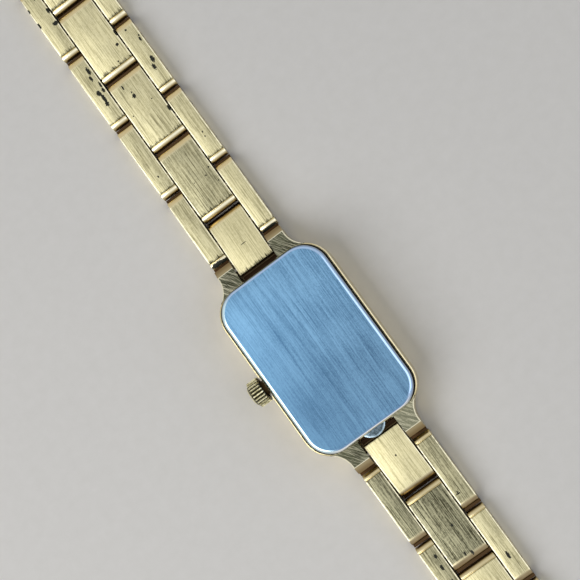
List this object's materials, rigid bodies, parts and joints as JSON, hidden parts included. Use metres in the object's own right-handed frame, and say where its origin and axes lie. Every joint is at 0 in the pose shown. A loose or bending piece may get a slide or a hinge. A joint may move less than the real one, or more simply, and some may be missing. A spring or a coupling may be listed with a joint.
{
  "type": "dress watch",
  "caption": "Rectangular wristwatch lying dial down, with a pressed-in back, a fluted crown and a three-row link bracelet with an open fold-over clasp.",
  "frame": {"origin": "centre of the crystal's outer face, on the surface that the watch lies on", "axes": "+Z out of the back, +Y along the bracelet towards 12 o'clock, crown on -X"},
  "size_m": [0.0188, 0.1711, 0.0057],
  "materials": {
    "gold_case": "polished gold plate",
    "gold_link": "brushed and worn gold plate",
    "gold_trim": "polished gold",
    "steel_back": "brushed",
    "plain_steel": "satin",
    "brass": "satin",
    "copper": "enamelled copper wire",
    "black_rubber": "matte",
    "white_gasket": "matte",
    "white_plastic": "matte",
    "circuit": "matte",
    "crystal": "clear",
    "dial": "satin cream",
    "hand": "gloss"
  },
  "bodies": {
    "case": {"case_body": "gold_case", "back_cover": "steel_back", "back_gasket": "black_rubber", "crystal": "crystal", "crystal_gasket": "white_gasket", "dial": "dial", "dial_markers": "gold_trim", "crown_tube": "brass", "movement_ring": "white_plastic", "main_plate": "brass", "train_bridge": "plain_steel", "movement_screws": "plain_steel", "circuit_block": "circuit", "coil": "copper", "stator": "plain_steel", "battery": "plain_steel", "battery_clamp": "plain_steel", "spring_bars": "plain_steel"},
    "crown_carrier": {"crown_gasket": "black_rubber"},
    "crown_wheel": {"crown": "gold_case", "stem": "plain_steel"},
    "minute_train": {"centre_wheel": "brass", "minute_hand": "hand"},
    "hour_train": {"hour_wheel": "brass", "hour_hand": "hand"},
    "minute_wheel": {"minute_wheel": "brass"},
    "intermediate_wheel": {"intermediate_wheel": "brass"},
    "rotor": {"rotor": "plain_steel"},
    "centre_link_12_1": {"centre_link_12_1": "gold_link"},
    "side_links_12_1": {"side_links_12_1": "gold_link"},
    "centre_link_12_2": {"centre_link_12_2": "gold_link"},
    "side_links_12_2": {"side_links_12_2": "gold_link"},
    "centre_link_12_3": {"centre_link_12_3": "gold_link"},
    "side_links_12_3": {"side_links_12_3": "gold_link"},
    "centre_link_12_4": {"centre_link_12_4": "gold_link"},
    "side_links_12_4": {"side_links_12_4": "gold_link"},
    "centre_link_12_5": {"centre_link_12_5": "gold_link"},
    "side_links_12_5": {"side_links_12_5": "gold_link"},
    "clasp_base": {"clasp_base": "gold_link", "clasp_hinge_pin": "plain_steel"},
    "centre_link_6_1": {"centre_link_6_1": "gold_link"},
    "side_links_6_1": {"side_links_6_1": "gold_link"},
    "centre_link_6_2": {"centre_link_6_2": "gold_link"},
    "side_links_6_2": {"side_links_6_2": "gold_link"},
    "centre_link_6_3": {"centre_link_6_3": "gold_link"},
    "side_links_6_3": {"side_links_6_3": "gold_link"},
    "centre_link_6_4": {"centre_link_6_4": "gold_link"},
    "side_links_6_4": {"side_links_6_4": "gold_link"},
    "centre_link_6_5": {"centre_link_6_5": "gold_link"},
    "side_links_6_5": {"side_links_6_5": "gold_link"},
    "end_loop": {"end_loop": "gold_link"},
    "clasp_lid": {"clasp_lid": "gold_link"}
  },
  "joints": [
    {"name": "centre_link_12_1_hinge", "type": "hinge", "parent": "case", "child": "centre_link_12_1", "pos_m": [0, 0.01445, 0.0024], "axis": [1, 0, 0], "range_deg": [-3.4, 37.6]},
    {"name": "side_links_12_1_hinge", "type": "hinge", "parent": "centre_link_12_1", "child": "side_links_12_1", "pos_m": [0, 0.01879, 0.00143], "axis": [1, 0, 0], "range_deg": [-15.16, 10.84]},
    {"name": "centre_link_12_2_hinge", "type": "hinge", "parent": "side_links_12_1", "child": "centre_link_12_2", "pos_m": [0, 0.02448, 0.00109], "axis": [1, 0, 0], "range_deg": [-8.47, 17.53]},
    {"name": "side_links_12_2_hinge", "type": "hinge", "parent": "centre_link_12_2", "child": "side_links_12_2", "pos_m": [0, 0.03018, 0.00099], "axis": [1, 0, 0], "range_deg": [-6.7, 19.3]},
    {"name": "centre_link_12_3_hinge", "type": "hinge", "parent": "side_links_12_2", "child": "centre_link_12_3", "pos_m": [0, 0.03588, 0.00096], "axis": [1, 0, 0], "range_deg": [-6.2, 19.8]},
    {"name": "side_links_12_3_hinge", "type": "hinge", "parent": "centre_link_12_3", "child": "side_links_12_3", "pos_m": [0, 0.04158, 0.00095], "axis": [1, 0, 0], "range_deg": [-6.06, 19.94]},
    {"name": "centre_link_12_4_hinge", "type": "hinge", "parent": "side_links_12_3", "child": "centre_link_12_4", "pos_m": [0, 0.04728, 0.00095], "axis": [1, 0, 0], "range_deg": [-6.02, 19.98]},
    {"name": "side_links_12_4_hinge", "type": "hinge", "parent": "centre_link_12_4", "child": "side_links_12_4", "pos_m": [0, 0.05298, 0.00095], "axis": [1, 0, 0], "range_deg": [-6, 20]},
    {"name": "centre_link_12_5_hinge", "type": "hinge", "parent": "side_links_12_4", "child": "centre_link_12_5", "pos_m": [0, 0.05868, 0.00095], "axis": [1, 0, 0], "range_deg": [-6, 20]},
    {"name": "side_links_12_5_hinge", "type": "hinge", "parent": "centre_link_12_5", "child": "side_links_12_5", "pos_m": [0, 0.06438, 0.00095], "axis": [1, 0, 0], "range_deg": [-6, 20]},
    {"name": "clasp_base_hinge", "type": "hinge", "parent": "side_links_12_5", "child": "clasp_base", "pos_m": [0, 0.07008, 0.00095], "axis": [1, 0, 0], "range_deg": [-6, 20]},
    {"name": "centre_link_6_1_hinge", "type": "hinge", "parent": "case", "child": "centre_link_6_1", "pos_m": [0, -0.01445, 0.0024], "axis": [1, 0, 0], "range_deg": [-37.6, 3.4]},
    {"name": "side_links_6_1_hinge", "type": "hinge", "parent": "centre_link_6_1", "child": "side_links_6_1", "pos_m": [0, -0.01879, 0.00143], "axis": [1, 0, 0], "range_deg": [-10.84, 15.16]},
    {"name": "centre_link_6_2_hinge", "type": "hinge", "parent": "side_links_6_1", "child": "centre_link_6_2", "pos_m": [0, -0.02448, 0.00109], "axis": [1, 0, 0], "range_deg": [-17.53, 8.47]},
    {"name": "side_links_6_2_hinge", "type": "hinge", "parent": "centre_link_6_2", "child": "side_links_6_2", "pos_m": [0, -0.03018, 0.00099], "axis": [1, 0, 0], "range_deg": [-19.3, 6.7]},
    {"name": "centre_link_6_3_hinge", "type": "hinge", "parent": "side_links_6_2", "child": "centre_link_6_3", "pos_m": [0, -0.03588, 0.00096], "axis": [1, 0, 0], "range_deg": [-19.8, 6.2]},
    {"name": "side_links_6_3_hinge", "type": "hinge", "parent": "centre_link_6_3", "child": "side_links_6_3", "pos_m": [0, -0.04158, 0.00095], "axis": [1, 0, 0], "range_deg": [-19.94, 6.06]},
    {"name": "centre_link_6_4_hinge", "type": "hinge", "parent": "side_links_6_3", "child": "centre_link_6_4", "pos_m": [0, -0.04728, 0.00095], "axis": [1, 0, 0], "range_deg": [-19.98, 6.02]},
    {"name": "side_links_6_4_hinge", "type": "hinge", "parent": "centre_link_6_4", "child": "side_links_6_4", "pos_m": [0, -0.05298, 0.00095], "axis": [1, 0, 0], "range_deg": [-20, 6]},
    {"name": "centre_link_6_5_hinge", "type": "hinge", "parent": "side_links_6_4", "child": "centre_link_6_5", "pos_m": [0, -0.05868, 0.00095], "axis": [1, 0, 0], "range_deg": [-20, 6]},
    {"name": "side_links_6_5_hinge", "type": "hinge", "parent": "centre_link_6_5", "child": "side_links_6_5", "pos_m": [0, -0.06438, 0.00095], "axis": [1, 0, 0], "range_deg": [-20, 6]},
    {"name": "end_loop_hinge", "type": "hinge", "parent": "side_links_6_5", "child": "end_loop", "pos_m": [0, -0.07008, 0.00095], "axis": [1, 0, 0], "range_deg": [-20, 6]},
    {"name": "clasp_lid_hinge", "type": "hinge", "parent": "clasp_base", "child": "clasp_lid", "pos_m": [0, 0.07528, 0.00095], "axis": [1, 0, 0], "range_deg": [-110, 0]},
    {"name": "crown_pull", "type": "slide", "parent": "case", "child": "crown_carrier", "axis": [-1, 0, 0], "range_m": [0, 0.0008]},
    {"name": "crown_turn", "type": "hinge", "parent": "crown_carrier", "child": "crown_wheel", "pos_m": [-0.0083, 0, 0.0033], "axis": [-1, 0, 0], "continuous": true},
    {"name": "minute_train_turn", "type": "hinge", "parent": "case", "child": "minute_train", "pos_m": [0, 0, 0.00355], "axis": [0, 0, -1], "continuous": true},
    {"name": "hour_train_turn", "type": "hinge", "parent": "case", "child": "hour_train", "pos_m": [0, 0, 0.00245], "axis": [0, 0, -1], "continuous": true},
    {"name": "minute_wheel_turn", "type": "hinge", "parent": "case", "child": "minute_wheel", "pos_m": [0.00188, 0.00068, 0.00245], "axis": [0, 0, -1], "continuous": true},
    {"name": "intermediate_wheel_turn", "type": "hinge", "parent": "case", "child": "intermediate_wheel", "pos_m": [0.00105, 0.00182, 0.00355], "axis": [0, 0, -1], "continuous": true},
    {"name": "rotor_turn", "type": "hinge", "parent": "case", "child": "rotor", "pos_m": [0.00152, 0.00357, 0.00355], "axis": [0, 0, -1], "continuous": true}
  ],
  "couplings": [
    {"joint": "hour_train_turn", "follows": "minute_train_turn", "ratio": 0.083333},
    {"joint": "minute_wheel_turn", "follows": "minute_train_turn", "ratio": -0.33333},
    {"joint": "intermediate_wheel_turn", "follows": "minute_train_turn", "ratio": -9},
    {"joint": "rotor_turn", "follows": "minute_train_turn", "ratio": 90}
  ]
}
